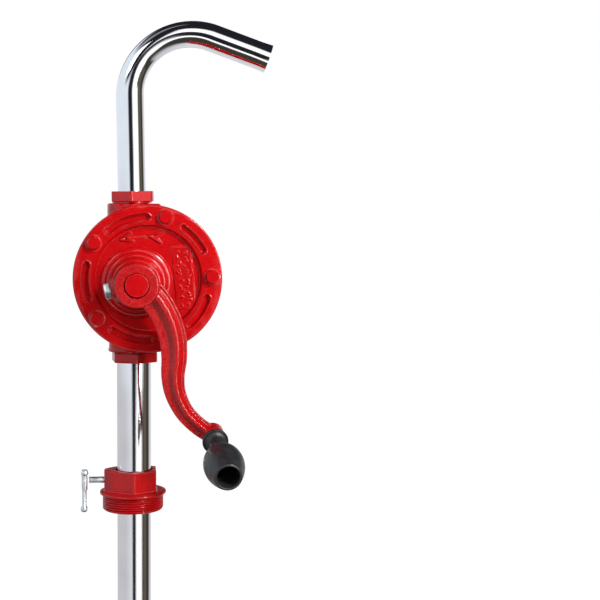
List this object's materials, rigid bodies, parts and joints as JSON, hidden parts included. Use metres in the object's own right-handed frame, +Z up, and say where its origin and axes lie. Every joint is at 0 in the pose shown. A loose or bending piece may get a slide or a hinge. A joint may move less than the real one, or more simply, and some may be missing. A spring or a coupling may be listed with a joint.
{
  "type": "rotary barrel pump",
  "caption": "Rotary vane hand pump with a cranked handle, hooked spout, telescopic suction tube and a threaded bung adapter with a clamp screw.",
  "frame": {"origin": "on the suction tube's axis, in the seat under the bung adapter's flange", "axes": "+Z up along the suction tube, +X towards the spout's mouth, -Y towards whoever turns the crank"},
  "size_m": [0.1921, 0.1963, 0.8397],
  "materials": {
    "red_enamel": "gloss",
    "chrome": "polished",
    "zinc": "zinc plated",
    "steel": "bright",
    "bronze": "machined",
    "cast_iron": "machined casting",
    "black_plastic": "satin",
    "carbon": "matt",
    "rubber": "matt"
  },
  "bodies": {
    "bung": {"bung_adapter": "red_enamel"},
    "pump": {"pump_casing": "red_enamel", "front_cover": "red_enamel", "cover_gasket": "rubber", "cover_bolt_1": "red_enamel", "cover_bolt_2": "red_enamel", "cover_bolt_3": "red_enamel", "cover_bolt_4": "red_enamel", "cover_bolt_5": "red_enamel", "shaft_bush": "bronze", "shaft_seal": "rubber", "outlet_bushing": "red_enamel", "outlet_seal": "rubber", "inlet_bushing": "red_enamel", "inlet_seal": "rubber", "suction_tube": "chrome", "tube_collar": "zinc", "collar_seal": "rubber"},
    "crank": {"rotor_shaft": "cast_iron", "vane_spring_1": "steel", "vane_spring_2": "steel", "crank_arm": "red_enamel", "crank_bolt": "zinc", "grip_pin": "steel"},
    "grip": {"grip": "black_plastic"},
    "vane_1": {"vane_1": "carbon"},
    "vane_2": {"vane_2": "carbon"},
    "spout": {"spout": "chrome"},
    "extension": {"extension_tube": "chrome"},
    "clamp_pad": {"clamp_pad": "bronze"},
    "clamp_screw": {"clamp_screw": "zinc"},
    "tommy_bar": {"tommy_bar": "zinc"}
  },
  "joints": [
    {"name": "pump_height", "type": "slide", "parent": "bung", "child": "pump", "axis": [0, 0, 1], "range_m": [-0.1, 0.29]},
    {"name": "crank_turn", "type": "hinge", "parent": "pump", "child": "crank", "pos_m": [0.0026, -0.066, 0.21], "axis": [0, -1, 0], "continuous": true},
    {"name": "grip_spin", "type": "hinge", "parent": "crank", "child": "grip", "pos_m": [0.0741, -0.066, 0.0677], "axis": [0.0818, -0.9748, -0.2077], "continuous": true},
    {"name": "vane_1_slide", "type": "slide", "parent": "crank", "child": "vane_1", "axis": [0.3347, 0, -0.9423], "range_m": [0, 0.0097], "deforming": ["vane_spring_1", "vane_spring_2"]},
    {"name": "vane_2_slide", "type": "slide", "parent": "crank", "child": "vane_2", "axis": [-0.3347, 0, 0.9423], "range_m": [0, 0.0097]},
    {"name": "spout_swivel", "type": "hinge", "parent": "pump", "child": "spout", "pos_m": [-0.0016, 0, 0.285], "axis": [-0.0183, 0, 0.9998], "continuous": true},
    {"name": "extension_slide", "type": "slide", "parent": "pump", "child": "extension", "axis": [0, 0, -1], "range_m": [0, 0.38]},
    {"name": "clamp_feed", "type": "slide", "parent": "bung", "child": "clamp_pad", "axis": [-1, 0, 0], "range_m": [0, 0.003]},
    {"name": "clamp_turn", "type": "hinge", "parent": "clamp_pad", "child": "clamp_screw", "pos_m": [-0.03, 0, 0.0137], "axis": [-1, 0, 0], "range_deg": [0, 715]},
    {"name": "tommy_bar_slide", "type": "slide", "parent": "clamp_screw", "child": "tommy_bar", "axis": [0, 0, 1], "range_m": [0, 0.021]}
  ],
  "couplings": [
    {"joint": "clamp_feed", "follows": "clamp_turn", "m_per_rad": 0.00023873}
  ]
}
